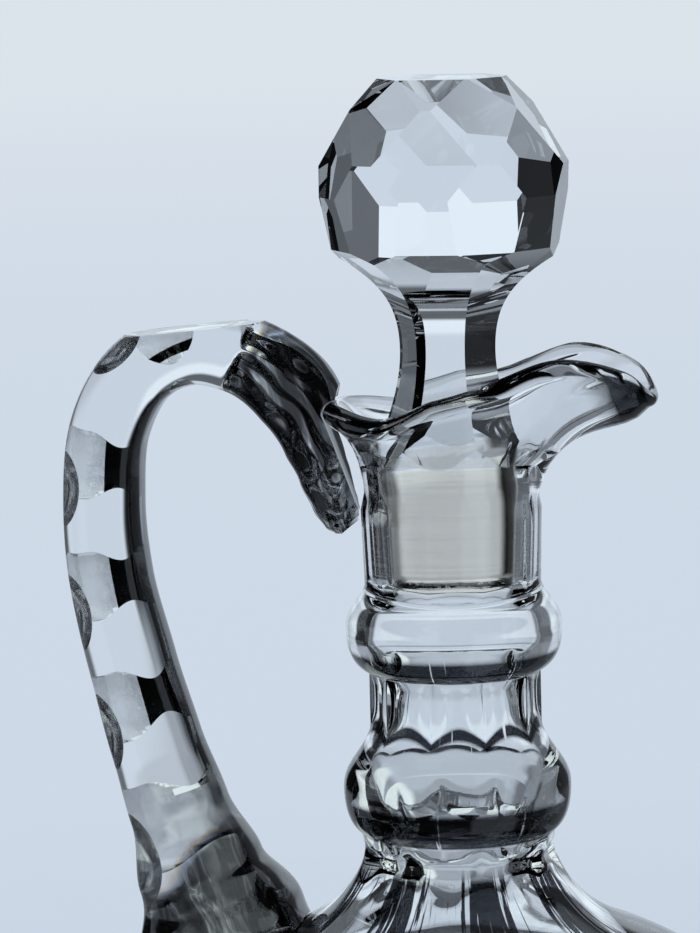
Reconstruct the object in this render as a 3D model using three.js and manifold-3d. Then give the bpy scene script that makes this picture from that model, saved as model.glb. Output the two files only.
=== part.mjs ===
// Cut-glass cruet: a blown vessel with a pulled lip, an applied handle and a faceted ball stopper.
// Millimetres, +Z up. The origin is the centre of the flat base, +X points to the pouring lip and
// -X to the handle.

import * as THREE from 'three';
import { mergeVertices } from 'three/addons/utils/BufferGeometryUtils.js';
import Module from 'manifold-3d';

const wasm = await Module();
wasm.setup();

// Base and body
const BASE_RADIUS = 34;
const BASE_BEVEL = 1.2;
const FOOT_HEIGHT = 4;
const FOOT_WAIST_RADIUS = 32.5;
const BODY_RADIUS = 42;
const BODY_WIDEST_HEIGHT = 26;
const SHOULDER_START_HEIGHT = 50;
const SHOULDER_START_RADIUS = 21.5;
const BODY_WALL = 4.2;
const BASE_THICKNESS = 7;

// Mitre star under the base and hollow flutes round the lower body
const STAR_POINTS = 16;
const STAR_INNER_RADIUS = 5;
const STAR_OUTER_RADIUS = 29;
const STAR_DEPTH = 0.9;
const STAR_GROOVE_WIDTH = 3;
const FLUTE_COUNT = 16;
const FLUTE_DEPTH = 1.8;
const FLUTE_WHEEL_RADIUS = 3.2;
const FLUTE_WIDTH = 14;
const FLUTE_HEIGHT = 21;
const FLUTE_LEAN = 28;

// Neck, measured up from the waist between the shoulder and the lower ring
const WAIST_HEIGHT = 62;
const WAIST_RADIUS = 11.4;
const LOWER_RING = { bottom: 0.6, widest: 6.2, top: 16.2, radius: 13.6 };
const UPPER_RING = { bottom: 19.8, widest: 25.6, top: 33.2, radius: 12.9 };
const RING_CROWN = 0.6;
const RING_FILLET = 0.35;
const MID_NECK_CORNER = 10.25;
const LOW_TOP_NECK_CORNER = 10.35;
const TOP_NECK_CORNER = 10.75;
const NECK_PANELS = 10;
const NECK_PANEL_TURN = 29;
const NECK_CORE_INSET = 0.08;
const NECK_PANEL_WALL = 1.2;
const NECK_PANEL_RUN_OUT = 3;
const SHOULDER_PANELS = 8;
const SHOULDER_PANEL_LINE = [
  { down: 14, beyond: 22.1 },
  { down: 10.5, beyond: 10.8 },
  { down: 6, beyond: 3.2 },
  { down: 3, beyond: 0.8 },
  { down: 0.8, beyond: 0.1 },
];
const BORE_RADIUS = 6.3;

// Ground socket and the plug that sits in it
const SOCKET_BOTTOM = 29.8;
const SOCKET_TOP = 45.2;
const SOCKET_BOTTOM_RADIUS = 7.7;
const SOCKET_TOP_RADIUS = 8.5;
const SOCKET_SHOULDER = 1.6;
const PLUG_CLEARANCE = 0.3;
const PLUG_CHAMFER = 0.6;

// Mouth and pouring lip, heights measured up from the waist
const LIP_START = 39.5;
const RIM_LOW = 50.3;
const RIM_BACK = 13.5;
const RIM_TIP = 23.8;
const RIM_HALF_WIDTH = 11.8;
const RIM_FULLNESS = 2.15;
const RIM_HALF_THICKNESS = 1.05;
const RIM_BACK_HALF_THICKNESS = 1.45;
const LIP_TURN = 2.2;
const LIP_PULL = 0.07;
const LIP_INNER_START = 1;
const RIM_RISE = [
  [-1, 0.7],
  [-0.4, -0.1],
  [0.22, 3.6],
  [0.6, 6.7],
  [0.88, 5.2],
  [1, 2.2],
];

// Stopper: ball, stem and plug. A row of facets has its elevation, its distance from the centre of
// the ball as a share of the ball's radius and its turn about the axis. Where ends is given, it is
// the distance of the two facets towards +X and -X, which are cut deeper.
const BALL_RADIUS = 14.8;
const BALL_HEIGHT = 78.3;
const BALL_TABLE = 12.1;
const BALL_BOTTOM = 11;
const BALL_SIDES = 6;
const BALL_ROWS = [
  { elevation: 54, distance: 0.946, turn: 30 },
  { elevation: 35, distance: 0.919, turn: 0, ends: 0.882 },
  { elevation: 16, distance: 0.926, turn: 30 },
  { elevation: -9, distance: 0.959, turn: 0, ends: 0.949 },
  { elevation: -14, distance: 0.986, turn: 30 },
];
const ROW_END = 0.9;
const STEM_SIDES = 6;
const STEM_WAIST_HEIGHT = 58.2;
const STEM_WAIST_FLAT = 4.95;
const STEM_SPREAD_FLAT = 14.5;
const STEM_SPREAD_HEIGHT = 71.4;
const STEM_BLANK_RADIUS = 10.5;

// Handle. Its centre line is given by shares of its reach and of its rise over the waist, its
// thickness in its own plane by shares of its width.
const HANDLE_GAP = 0.3;
const HANDLE_ROOM_RISE = 9;
const HANDLE_ROOM_LEAN = 4;
const HANDLE_REACH = 42.6;
const HANDLE_RISE = 58.9;
const HANDLE_WIDTH = 9.4;
const HANDLE_DEPTH = 9.6;
const HANDLE_PATH = [
  { out: 0.282, up: 0.633, width: 0.19 },
  { out: 0.29, up: 0.64, width: 0.33 },
  { out: 0.304, up: 0.655, width: 0.47 },
  { out: 0.322, up: 0.686, width: 0.59 },
  { out: 0.34, up: 0.737, width: 0.74 },
  { out: 0.364, up: 0.806, width: 0.92 },
  { out: 0.434, up: 0.908, width: 1.1 },
  { out: 0.57, up: 0.98, width: 1.02 },
  { out: 0.73, up: 1, width: 0.98 },
  { out: 0.875, up: 0.949, width: 0.96 },
  { out: 0.967, up: 0.839, width: 0.98 },
  { out: 0.993, up: 0.686, width: 1 },
  { out: 0.98, up: 0.526, width: 1.03 },
  { out: 0.925, up: 0.346, width: 1.085 },
  { out: 0.866, up: 0.187, width: 1.15 },
  { out: 0.803, up: 0.044, width: 1.255 },
  { out: 0.745, up: -0.085, width: 1.6 },
  { out: 0.69, up: -0.195, width: 2.13 },
  { out: 0.66, up: -0.306, width: 2.55 },
];
const HANDLE_TOP_FLAT = 61.2;
const HANDLE_TOP_FLAT_TILT = 5.5;
const HANDLE_TOP_FLAT_OUT = 0.7;
const HANDLE_SECTION_POINTS = 16;
const HANDLE_SQUARENESS = 3.2;
const HANDLE_PLAIN_WIDTH = 11;
const HANDLE_SPREAD = 1;
const HANDLE_STEPS = 48;

// Scalloped notches along both outer corners of the handle. For each side: the angle from outward
// to the wheel, how far the wheel's edge stays from the centre line as a share of the half width,
// and how much higher than on the other side the notches lie.
const NOTCHES = 5;
const NOTCH_FIRST = 56.2;
const NOTCH_PITCH = 14.1;
const NOTCH_WHEEL_RADIUS = 10;
const NOTCH_FAR_LIFT = 1.9;
const NOTCH_SIDES = [
  { hand: -1, angle: 30, depth: 0.86, lift: 0 },
  { hand: 1, angle: 72, depth: 0.89, lift: NOTCH_FAR_LIFT },
];

// Fineness of the curved surfaces
const ROUND_STEPS = 40;
const CURVE_STEPS = 5;
const LIP_STEPS = 6;

const glass = { color: 0xdfe8ee, roughness: 0.04, metalness: 0 };
const groundGlass = { color: 0xe9e4dc, roughness: 0.3, metalness: 0 };

const rad = THREE.MathUtils.degToRad;
const mix = THREE.MathUtils.lerp;

// A solid from a geometry whose shared corners are merged.
function toSolid(geometry) {
  const bare = geometry.clone();
  bare.deleteAttribute('normal');
  bare.deleteAttribute('uv');
  const merged = mergeVertices(bare, 1e-4);
  const index = merged.index.array;
  const triangles = [];
  for (let i = 0; i < index.length; i += 3) {
    const [a, b, c] = [index[i], index[i + 1], index[i + 2]];
    if (a !== b && b !== c && c !== a) {
      triangles.push(a, b, c);
    }
  }
  return new wasm.Manifold(new wasm.Mesh({
    numProp: 3,
    vertProperties: new Float32Array(merged.attributes.position.array),
    triVerts: new Uint32Array(triangles),
  }));
}

function toGeometry(solid) {
  const mesh = solid.getMesh();
  const geometry = new THREE.BufferGeometry();
  geometry.setAttribute('position', new THREE.BufferAttribute(mesh.vertProperties, 3));
  geometry.setIndex(new THREE.BufferAttribute(mesh.triVerts, 1));
  geometry.computeVertexNormals();
  return geometry;
}

// A closed surface through rings of points: each ring joins the next, and the first and last
// rings close on their own centres.
function skin(rings) {
  const count = rings[0].length;
  const middle = (ring) => ring.reduce((sum, p) => sum.add(p), new THREE.Vector3())
    .divideScalar(count);
  const points = [middle(rings[0]), ...rings.flat(), middle(rings[rings.length - 1])];
  const last = points.length - 1;
  const index = [];
  for (let k = 0; k < count; k += 1) {
    const next = (k + 1) % count;
    index.push(0, 1 + next, 1 + k);
    for (let r = 0; r < rings.length - 1; r += 1) {
      const low = 1 + r * count;
      const high = low + count;
      index.push(low + k, low + next, high + k);
      index.push(low + next, high + next, high + k);
    }
    const top = 1 + (rings.length - 1) * count;
    index.push(top + k, top + next, last);
  }
  const geometry = new THREE.BufferGeometry();
  geometry.setFromPoints(points);
  geometry.setIndex(index);
  return geometry;
}

// A turned solid about Z from [radius, height] pairs that start and end on the axis.
function turned(profile, sides, turn = 0) {
  const points = profile.map(([r, z]) => new THREE.Vector2(r, z));
  const lathe = new THREE.LatheGeometry(points, sides, turn);
  lathe.rotateX(Math.PI / 2);
  return toSolid(lathe);
}

function placedBox(width, depth, height, matrix) {
  const box = new THREE.BoxGeometry(width, depth, height);
  box.applyMatrix4(matrix);
  return toSolid(box);
}

// Points of a curve without its first one, so that curves can follow each other.
function stretch(curve, steps = CURVE_STEPS) {
  return curve.getPoints(steps).slice(1).map((p) => [p.x, p.y]);
}

const v2 = (x, y) => new THREE.Vector2(x, y);

// The round core inside the neck's flat panels, a little below the flats.
function coreRadius(corner) {
  return corner * Math.cos(Math.PI / NECK_PANELS) - NECK_CORE_INSET;
}

// Outline of a ring from its lower edge over its widest height to its upper edge.
function ringBulge(ring, lowRadius, highRadius) {
  const low = WAIST_HEIGHT + ring.bottom;
  const middle = WAIST_HEIGHT + ring.widest;
  const high = WAIST_HEIGHT + ring.top;
  const crown = ring.radius - RING_CROWN;
  const under = new THREE.CubicBezierCurve(
    v2(lowRadius, low), v2(crown, mix(low, middle, 0.15)),
    v2(ring.radius, mix(low, middle, 0.5)), v2(ring.radius, middle));
  const over = new THREE.CubicBezierCurve(
    v2(ring.radius, middle), v2(ring.radius, mix(middle, high, 0.34)),
    v2(highRadius + RING_FILLET, mix(middle, high, 0.43)), v2(highRadius, high));
  return [...stretch(under), ...stretch(over, CURVE_STEPS + 1)];
}

// Outline of the blown body from the axis up to where the lip starts.
function outerProfile() {
  const waist = WAIST_HEIGHT;
  const body = new THREE.CubicBezierCurve(
    v2(FOOT_WAIST_RADIUS, FOOT_HEIGHT),
    v2(mix(FOOT_WAIST_RADIUS, BODY_RADIUS, 0.63), mix(FOOT_HEIGHT, BODY_WIDEST_HEIGHT, 0.23)),
    v2(BODY_RADIUS, mix(FOOT_HEIGHT, BODY_WIDEST_HEIGHT, 0.59)),
    v2(BODY_RADIUS, BODY_WIDEST_HEIGHT));
  const shoulder = new THREE.CubicBezierCurve(
    v2(BODY_RADIUS, BODY_WIDEST_HEIGHT),
    v2(BODY_RADIUS, mix(BODY_WIDEST_HEIGHT, SHOULDER_START_HEIGHT, 0.54)),
    v2(mix(SHOULDER_START_RADIUS, BODY_RADIUS, 0.44),
      mix(BODY_WIDEST_HEIGHT, SHOULDER_START_HEIGHT, 0.854)),
    v2(SHOULDER_START_RADIUS, SHOULDER_START_HEIGHT));
  const flare = new THREE.CubicBezierCurve(
    v2(SHOULDER_START_RADIUS, SHOULDER_START_HEIGHT),
    v2(mix(SHOULDER_START_RADIUS, WAIST_RADIUS, 0.594), mix(SHOULDER_START_HEIGHT, waist, 0.22)),
    v2(mix(SHOULDER_START_RADIUS, WAIST_RADIUS, 0.96), mix(SHOULDER_START_HEIGHT, waist, 0.54)),
    v2(WAIST_RADIUS, mix(SHOULDER_START_HEIGHT, waist, 0.96)));
  const rings = [
    ...ringBulge(LOWER_RING, WAIST_RADIUS, coreRadius(MID_NECK_CORNER)),
    [coreRadius(MID_NECK_CORNER), waist + UPPER_RING.bottom],
    ...ringBulge(UPPER_RING, coreRadius(MID_NECK_CORNER), coreRadius(LOW_TOP_NECK_CORNER)),
  ];
  return [
    [0, 0],
    [BASE_RADIUS - BASE_BEVEL, 0],
    [BASE_RADIUS, BASE_BEVEL],
    [FOOT_WAIST_RADIUS, FOOT_HEIGHT],
    ...stretch(body),
    ...stretch(shoulder),
    ...stretch(flare),
    ...rings,
    [coreRadius(TOP_NECK_CORNER), waist + LIP_START],
  ];
}

// Radius of the outline at a height on the lower body.
function bodyRadiusAt(height) {
  const outline = outerProfile();
  const k = outline.findIndex(([, z]) => z > height);
  const [low, high] = [outline[k - 1], outline[k]];
  return mix(low[0], high[0], (height - low[1]) / (high[1] - low[1]));
}

// Outline of the hollow from the top of the socket down to the axis.
function innerProfile() {
  const waist = WAIST_HEIGHT;
  const hollow = BODY_RADIUS - BODY_WALL;
  const boreEnd = mix(SHOULDER_START_HEIGHT, waist, 0.67);
  const inShoulder = new THREE.CubicBezierCurve(
    v2(BORE_RADIUS, boreEnd), v2(BORE_RADIUS, mix(boreEnd, BODY_WIDEST_HEIGHT, 0.28)),
    v2(hollow, mix(boreEnd, BODY_WIDEST_HEIGHT, 0.45)), v2(hollow, BODY_WIDEST_HEIGHT));
  const inBody = new THREE.CubicBezierCurve(
    v2(hollow, BODY_WIDEST_HEIGHT), v2(hollow, mix(BODY_WIDEST_HEIGHT, BASE_THICKNESS, 0.68)),
    v2((FOOT_WAIST_RADIUS - BODY_WALL) * 0.9, mix(BASE_THICKNESS, BODY_WIDEST_HEIGHT, 0.03)),
    v2(FOOT_WAIST_RADIUS * 0.5, BASE_THICKNESS));
  return [
    [SOCKET_TOP_RADIUS, waist + SOCKET_TOP],
    [SOCKET_BOTTOM_RADIUS, waist + SOCKET_BOTTOM],
    [BORE_RADIUS, waist + SOCKET_BOTTOM - SOCKET_SHOULDER],
    [BORE_RADIUS, boreEnd],
    ...stretch(inShoulder),
    ...stretch(inBody),
    [0, BASE_THICKNESS],
  ];
}

const rimRise = new THREE.SplineCurve(RIM_RISE.map(([along, rise]) => v2(along, rise)));

// Height of the rim over RIM_LOW where it lies the share along of the way to the tip or the back.
function riseAt(along) {
  let low = 0;
  let high = 1;
  for (let k = 0; k < 30; k += 1) {
    const mid = (low + high) / 2;
    if (rimRise.getPoint(mid).x < along) {
      low = mid;
    } else {
      high = mid;
    }
  }
  return rimRise.getPoint(low).y;
}

// Middle line of the rim at turn t, 0 at the tip.
function rimPoint(t) {
  const power = 2 / RIM_FULLNESS;
  const c = Math.cos(t);
  const s = Math.sin(t);
  const along = Math.sign(c) * Math.abs(c) ** power;
  const reach = c > 0 ? RIM_TIP : RIM_BACK;
  const across = Math.sign(s) * Math.abs(s) ** power * RIM_HALF_WIDTH;
  return new THREE.Vector3(reach * along, across, WAIST_HEIGHT + RIM_LOW + riseAt(along));
}

// Middle surface of the lip: share goes from 0 at the neck to 1 at the rim.
function lipMiddle(t, share) {
  const neck = (SOCKET_TOP_RADIUS + coreRadius(TOP_NECK_CORNER)) / 2;
  const rim = rimPoint(t);
  const foot = new THREE.Vector3(neck * Math.cos(t), neck * Math.sin(t), WAIST_HEIGHT + LIP_START);
  const swell = 1 + LIP_PULL * (1 + Math.cos(t));
  const pull = new THREE.Vector3(foot.x * swell, foot.y * swell, rim.z - LIP_TURN);
  return new THREE.QuadraticBezierCurve3(foot, pull, rim).getPoint(share);
}

function lipNormal(t, share) {
  const step = 0.02;
  const before = Math.max(0, share - step);
  const after = Math.min(1, share + step);
  const along = lipMiddle(t, after).sub(lipMiddle(t, before));
  const around = lipMiddle(t + step, share).sub(lipMiddle(t - step, share));
  return around.cross(along).normalize();
}

// One column of points from the base to the rim and back down to the floor of the hollow.
function vesselColumn(t, outer, inner) {
  const rimHalf = mix(RIM_BACK_HALF_THICKNESS, RIM_HALF_THICKNESS, (1 + Math.cos(t)) / 2);
  const onCircle = ([r, z]) => new THREE.Vector3(r * Math.cos(t), r * Math.sin(t), z);
  const halfWall = (coreRadius(TOP_NECK_CORNER) - SOCKET_TOP_RADIUS) / 2;
  const outside = [];
  const inside = [];
  for (let k = 1; k <= LIP_STEPS; k += 1) {
    const share = k / LIP_STEPS;
    const half = mix(halfWall, rimHalf, share);
    const normal = lipNormal(t, share);
    const middle = lipMiddle(t, share);
    outside.push(middle.clone().addScaledVector(normal, half));
    if (middle.z > WAIST_HEIGHT + SOCKET_TOP + LIP_INNER_START) {
      inside.push(middle.clone().addScaledVector(normal, -half));
    } else {
      const height = SOCKET_TOP + (LIP_INNER_START * k) / LIP_STEPS;
      inside.push(onCircle([SOCKET_TOP_RADIUS, WAIST_HEIGHT + height]));
    }
  }
  const end = lipMiddle(t, 1);
  const normal = lipNormal(t, 1);
  const outward = end.clone().sub(lipMiddle(t, 0.97)).normalize();
  const roll = [];
  for (let k = 1; k < 4; k += 1) {
    const angle = (k * Math.PI) / 4;
    roll.push(end.clone()
      .addScaledVector(normal, rimHalf * Math.cos(angle))
      .addScaledVector(outward, rimHalf * Math.sin(angle)));
  }
  return [
    ...outer.slice(1).map(onCircle),
    ...outside,
    ...roll,
    ...inside.reverse(),
    ...inner.slice(0, -1).map(onCircle),
  ];
}

function vesselBlank() {
  const outer = outerProfile();
  const inner = innerProfile();
  const columns = [];
  for (let k = 0; k < ROUND_STEPS; k += 1) {
    columns.push(vesselColumn((k / ROUND_STEPS) * 2 * Math.PI, outer, inner));
  }
  const rings = columns[0].map((_, i) => columns.map((column) => column[i]));
  return toSolid(skin(rings));
}

// The tube of flat panels round the neck. It ends inside the lower ring and inside the lip, so
// that the rings' fillets and the lip show as arches against the panels.
function neckPanelTube() {
  const low = WAIST_HEIGHT + LOWER_RING.widest;
  const middle = WAIST_HEIGHT + UPPER_RING.widest;
  const high = WAIST_HEIGHT + LIP_START;
  const faded = coreRadius(TOP_NECK_CORNER) - NECK_CORE_INSET;
  const prism = turned([
    [0, low],
    [MID_NECK_CORNER, low],
    [MID_NECK_CORNER, middle],
    [LOW_TOP_NECK_CORNER, middle + NECK_CORE_INSET],
    [TOP_NECK_CORNER, high],
    [faded, high + NECK_PANEL_RUN_OUT],
    [0, high + NECK_PANEL_RUN_OUT],
  ], NECK_PANELS, rad(NECK_PANEL_TURN));
  const room = coreRadius(MID_NECK_CORNER) - NECK_PANEL_WALL / 2;
  const inside = turned([
    [0, low - NECK_PANEL_WALL],
    [room, low - NECK_PANEL_WALL],
    [room, high + 2 * NECK_PANEL_RUN_OUT],
    [0, high + 2 * NECK_PANEL_RUN_OUT],
  ], ROUND_STEPS);
  return prism.subtract(inside);
}

// What stands outside the broad panels on the flare between the waist and the shoulder.
function shoulderPanelCut() {
  const line = SHOULDER_PANEL_LINE.map(({ down, beyond }) => [
    WAIST_RADIUS + beyond, WAIST_HEIGHT - down]);
  const [wide, low] = line[0];
  const top = line[line.length - 1][1];
  const prism = turned([[0, low], ...line, [0, top]], SHOULDER_PANELS, rad(180 / SHOULDER_PANELS));
  const sleeve = turned([[0, low], [wide, low], [wide, top], [0, top]], ROUND_STEPS);
  return sleeve.subtract(prism);
}

// The V grooves of the star under the base.
function starCut() {
  const length = STAR_OUTER_RADIUS - STAR_INNER_RADIUS;
  const half = STAR_GROOVE_WIDTH / 2;
  const shape = new THREE.Shape([
    v2(-half, -0.5 * STAR_DEPTH), v2(half, -0.5 * STAR_DEPTH), v2(0, STAR_DEPTH),
  ]);
  const cuts = [];
  for (let k = 0; k < STAR_POINTS; k += 1) {
    const groove = new THREE.ExtrudeGeometry(shape, { depth: length, bevelEnabled: false });
    groove.rotateX(Math.PI / 2);
    groove.translate(0, -STAR_INNER_RADIUS, 0);
    groove.rotateZ((2 * Math.PI * k) / STAR_POINTS);
    cuts.push(toSolid(groove));
  }
  return wasm.Manifold.union(cuts);
}

// Hollow flutes, each the track of a wheel held upright against the lower body.
function fluteCut() {
  const cuts = [];
  const wheelHeight = FOOT_HEIGHT + FLUTE_HEIGHT / 2;
  const wheelPlace = bodyRadiusAt(wheelHeight) + FLUTE_WHEEL_RADIUS - FLUTE_DEPTH;
  for (let k = 0; k < FLUTE_COUNT; k += 1) {
    const wheel = new THREE.SphereGeometry(1, 14, 9);
    wheel.scale(FLUTE_WHEEL_RADIUS, FLUTE_WIDTH / 2, FLUTE_HEIGHT / 2);
    wheel.rotateY(rad(FLUTE_LEAN));
    wheel.translate(wheelPlace, 0, wheelHeight);
    wheel.rotateZ((2 * Math.PI * (k + 0.5)) / FLUTE_COUNT);
    cuts.push(toSolid(wheel));
  }
  return wasm.Manifold.union(cuts);
}

function buildVessel() {
  return vesselBlank()
    .add(neckPanelTube())
    .subtract(shoulderPanelCut())
    .subtract(starCut())
    .subtract(fluteCut());
}

// The part of space on the near side of a plane that lies distance from a centre.
function facetBlock(normal, distance, centre, size) {
  const turn = new THREE.Quaternion().setFromUnitVectors(new THREE.Vector3(0, 0, 1), normal);
  const place = centre.clone().addScaledVector(normal, distance + size / 2);
  return placedBox(size, size, size, new THREE.Matrix4().compose(
    place, turn, new THREE.Vector3(1, 1, 1)));
}

// The ball is what is left of a block inside all of its facets.
function buildBall() {
  const centre = new THREE.Vector3(0, 0, WAIST_HEIGHT + BALL_HEIGHT);
  const size = 4 * BALL_TABLE;
  const middle = new THREE.Matrix4().setPosition(0, 0, centre.z - BALL_BOTTOM + size / 2);
  const cuts = [facetBlock(new THREE.Vector3(0, 0, 1), BALL_TABLE, centre, 2 * size)];
  for (const row of BALL_ROWS) {
    for (let k = 0; k < BALL_SIDES; k += 1) {
      const around = rad(row.turn + (360 * k) / BALL_SIDES);
      const up = rad(row.elevation);
      const normal = new THREE.Vector3(
        Math.cos(up) * Math.cos(around), Math.cos(up) * Math.sin(around), Math.sin(up));
      const atEnd = row.ends !== undefined && Math.abs(normal.x) > Math.cos(up) * ROW_END;
      const share = atEnd ? row.ends : row.distance;
      cuts.push(facetBlock(normal, share * BALL_RADIUS, centre, 2 * size));
    }
  }
  return placedBox(size, size, size, middle).subtract(wasm.Manifold.union(cuts));
}

// Radius of the plug at a height over the waist, a clearance inside the socket.
function plugRadius(up) {
  const share = (up - SOCKET_BOTTOM) / (SOCKET_TOP - SOCKET_BOTTOM);
  const socket = mix(SOCKET_BOTTOM_RADIUS, SOCKET_TOP_RADIUS, share);
  return socket - PLUG_CLEARANCE;
}

// The round blank of plug and stem.
function stemBlank() {
  const waist = WAIST_HEIGHT;
  const plugBottom = SOCKET_BOTTOM + PLUG_CLEARANCE;
  const plugTop = plugRadius(SOCKET_TOP);
  const head = SOCKET_TOP + 2 * PLUG_CHAMFER;
  return turned([
    [0, waist + plugBottom],
    [plugRadius(plugBottom) - PLUG_CHAMFER, waist + plugBottom],
    [plugRadius(plugBottom + PLUG_CHAMFER), waist + plugBottom + PLUG_CHAMFER],
    [plugTop, waist + SOCKET_TOP],
    [plugTop, waist + head],
    [STEM_BLANK_RADIUS, waist + STEM_WAIST_HEIGHT],
    [STEM_BLANK_RADIUS, waist + BALL_HEIGHT - BALL_BOTTOM + PLUG_CHAMFER],
    [0, waist + BALL_HEIGHT - BALL_BOTTOM + PLUG_CHAMFER],
  ], ROUND_STEPS);
}

// The prism inside the stem's flat panels. They flare down onto the plug and up under the ball.
function stemPanels() {
  const waist = WAIST_HEIGHT;
  const corner = 1 / Math.cos(Math.PI / STEM_SIDES);
  const plugTop = plugRadius(SOCKET_TOP);
  const wide = 2 * STEM_SPREAD_FLAT;
  const flare = new THREE.QuadraticBezierCurve(
    v2(plugTop, waist + SOCKET_TOP),
    v2(STEM_WAIST_FLAT, waist + mix(SOCKET_TOP, STEM_WAIST_HEIGHT, 0.6)),
    v2(STEM_WAIST_FLAT, waist + STEM_WAIST_HEIGHT));
  const climb = STEM_SPREAD_HEIGHT - STEM_WAIST_HEIGHT;
  const spread = new THREE.CubicBezierCurve(
    v2(STEM_WAIST_FLAT, waist + STEM_WAIST_HEIGHT),
    v2(STEM_WAIST_FLAT, waist + STEM_WAIST_HEIGHT + 0.48 * climb),
    v2(STEM_SPREAD_FLAT / 2, waist + STEM_WAIST_HEIGHT + 0.68 * climb),
    v2(STEM_SPREAD_FLAT, waist + STEM_SPREAD_HEIGHT));
  const outline = [
    [0, waist],
    [wide, waist],
    [wide, waist + SOCKET_TOP - PLUG_CHAMFER],
    [plugTop, waist + SOCKET_TOP],
    ...stretch(flare, 6),
    ...stretch(spread, 8),
    [wide, waist + BALL_HEIGHT],
    [wide, waist + BALL_HEIGHT + wide],
    [0, waist + BALL_HEIGHT + wide],
  ];
  return turned(outline.map(([r, z]) => [r * corner, z]), STEM_SIDES, rad(90));
}

function buildStopper() {
  return stemBlank().add(buildBall()).intersect(stemPanels());
}

// The handle's section in its own plane: u points away from the loop, v is the depth.
function handleSection(width) {
  const points = [];
  const power = 2 / HANDLE_SQUARENESS;
  for (let k = 0; k < HANDLE_SECTION_POINTS; k += 1) {
    const angle = (2 * Math.PI * (k + 0.5)) / HANDLE_SECTION_POINTS;
    const c = Math.cos(angle);
    const s = Math.sin(angle);
    points.push([
      (Math.sign(c) * Math.abs(c) ** power * width) / 2,
      (Math.sign(s) * Math.abs(s) ** power * HANDLE_DEPTH * depthShare(width)) / 2,
    ]);
  }
  return points;
}

// The handle spreads sideways where it spreads in its own plane.
function depthShare(width) {
  return 1 + Math.max(0, width / HANDLE_PLAIN_WIDTH - 1) * HANDLE_SPREAD;
}

const handleCurve = new THREE.CatmullRomCurve3(
  HANDLE_PATH.map(({ out, up }) => new THREE.Vector3(
    -out * HANDLE_REACH, 0, WAIST_HEIGHT + up * HANDLE_RISE)),
  false, 'centripetal');

function handleFrame(share) {
  const point = handleCurve.getPoint(share);
  const along = handleCurve.getTangent(share);
  const side = new THREE.Vector3(0, 1, 0);
  const outward = side.clone().cross(along).normalize();
  return { point, along, side, outward };
}

function handleWidth(share) {
  const place = share * (HANDLE_PATH.length - 1);
  const k = Math.min(Math.floor(place), HANDLE_PATH.length - 2);
  const from = HANDLE_PATH[k].width;
  const to = HANDLE_PATH[k + 1].width;
  return HANDLE_WIDTH * mix(from, to, THREE.MathUtils.smoothstep(place - k, 0, 1));
}

// Place along the handle, from 0 to 1, where its outer run passes a height over the waist.
function shareAtHeight(up) {
  let low = 0.4;
  let high = 1;
  for (let k = 0; k < 30; k += 1) {
    const mid = (low + high) / 2;
    if (handleCurve.getPoint(mid).z > WAIST_HEIGHT + up) {
      low = mid;
    } else {
      high = mid;
    }
  }
  return low;
}

// The wheels that cut the scalloped notches into both outer corners.
function notchCut() {
  const wheels = [];
  for (let k = 0; k < NOTCHES; k += 1) {
    for (const { hand, angle, depth, lift } of NOTCH_SIDES) {
      const share = shareAtHeight(NOTCH_FIRST + lift - k * NOTCH_PITCH);
      const { point, along, side, outward } = handleFrame(share);
      const to = outward.clone().multiplyScalar(Math.cos(rad(angle)))
        .addScaledVector(side, hand * Math.sin(rad(angle)));
      const axle = to.clone().cross(along).normalize();
      const wheel = new THREE.CylinderGeometry(
        NOTCH_WHEEL_RADIUS, NOTCH_WHEEL_RADIUS, 3 * HANDLE_DEPTH, 40);
      const basis = new THREE.Matrix4().makeBasis(to, axle, to.clone().cross(axle));
      basis.setPosition(point.clone()
        .addScaledVector(to, depth * handleWidth(share) / 2 + NOTCH_WHEEL_RADIUS));
      wheel.applyMatrix4(basis);
      wheels.push(toSolid(wheel));
    }
  }
  return wasm.Manifold.union(wheels);
}

// The room that the handle leaves round the vessel where it is seated. It follows the neck and
// the rim at the back of the lip.
function vesselRoom() {
  const wall = outerProfile().map(([r, z]) => [r === 0 ? 0 : r + HANDLE_GAP, z]);
  const panelRadius = TOP_NECK_CORNER + HANDLE_GAP;
  const lipStart = WAIST_HEIGHT + LIP_START;
  const panels = turned([
    [0, WAIST_HEIGHT + LOWER_RING.widest],
    [panelRadius, WAIST_HEIGHT + LOWER_RING.widest],
    [panelRadius, lipStart],
    [0, lipStart],
  ], ROUND_STEPS);
  const { z } = rimPoint(Math.PI);
  const half = RIM_BACK_HALF_THICKNESS + HANDLE_GAP;
  const slant = half * Math.SQRT1_2;
  const top = z + HANDLE_ROOM_RISE;
  return turned([
    ...wall,
    [panelRadius, lipStart],
    [RIM_BACK + half, z],
    [RIM_BACK + slant, z + slant],
    [RIM_BACK, z + half],
    [RIM_BACK + half - HANDLE_ROOM_LEAN, top],
    [0, top],
  ], ROUND_STEPS).add(panels);
}

function buildHandle() {
  const rings = [];
  for (let k = 0; k <= HANDLE_STEPS; k += 1) {
    const share = k / HANDLE_STEPS;
    const { point, side, outward } = handleFrame(share);
    rings.push(handleSection(handleWidth(share)).map(([u, v]) => point.clone()
      .addScaledVector(outward, u)
      .addScaledVector(side, v)));
  }
  const rod = toSolid(skin(rings));
  const flatTurn = new THREE.Matrix4().makeRotationY(rad(-HANDLE_TOP_FLAT_TILT));
  flatTurn.setPosition(
    -HANDLE_TOP_FLAT_OUT * HANDLE_REACH, 0, WAIST_HEIGHT + HANDLE_TOP_FLAT + HANDLE_DEPTH);
  const thumbFlat = placedBox(2 * HANDLE_REACH, 4 * HANDLE_DEPTH, 2 * HANDLE_DEPTH, flatTurn);
  return rod.subtract(vesselRoom()).subtract(thumbFlat).subtract(notchCut());
}

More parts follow.
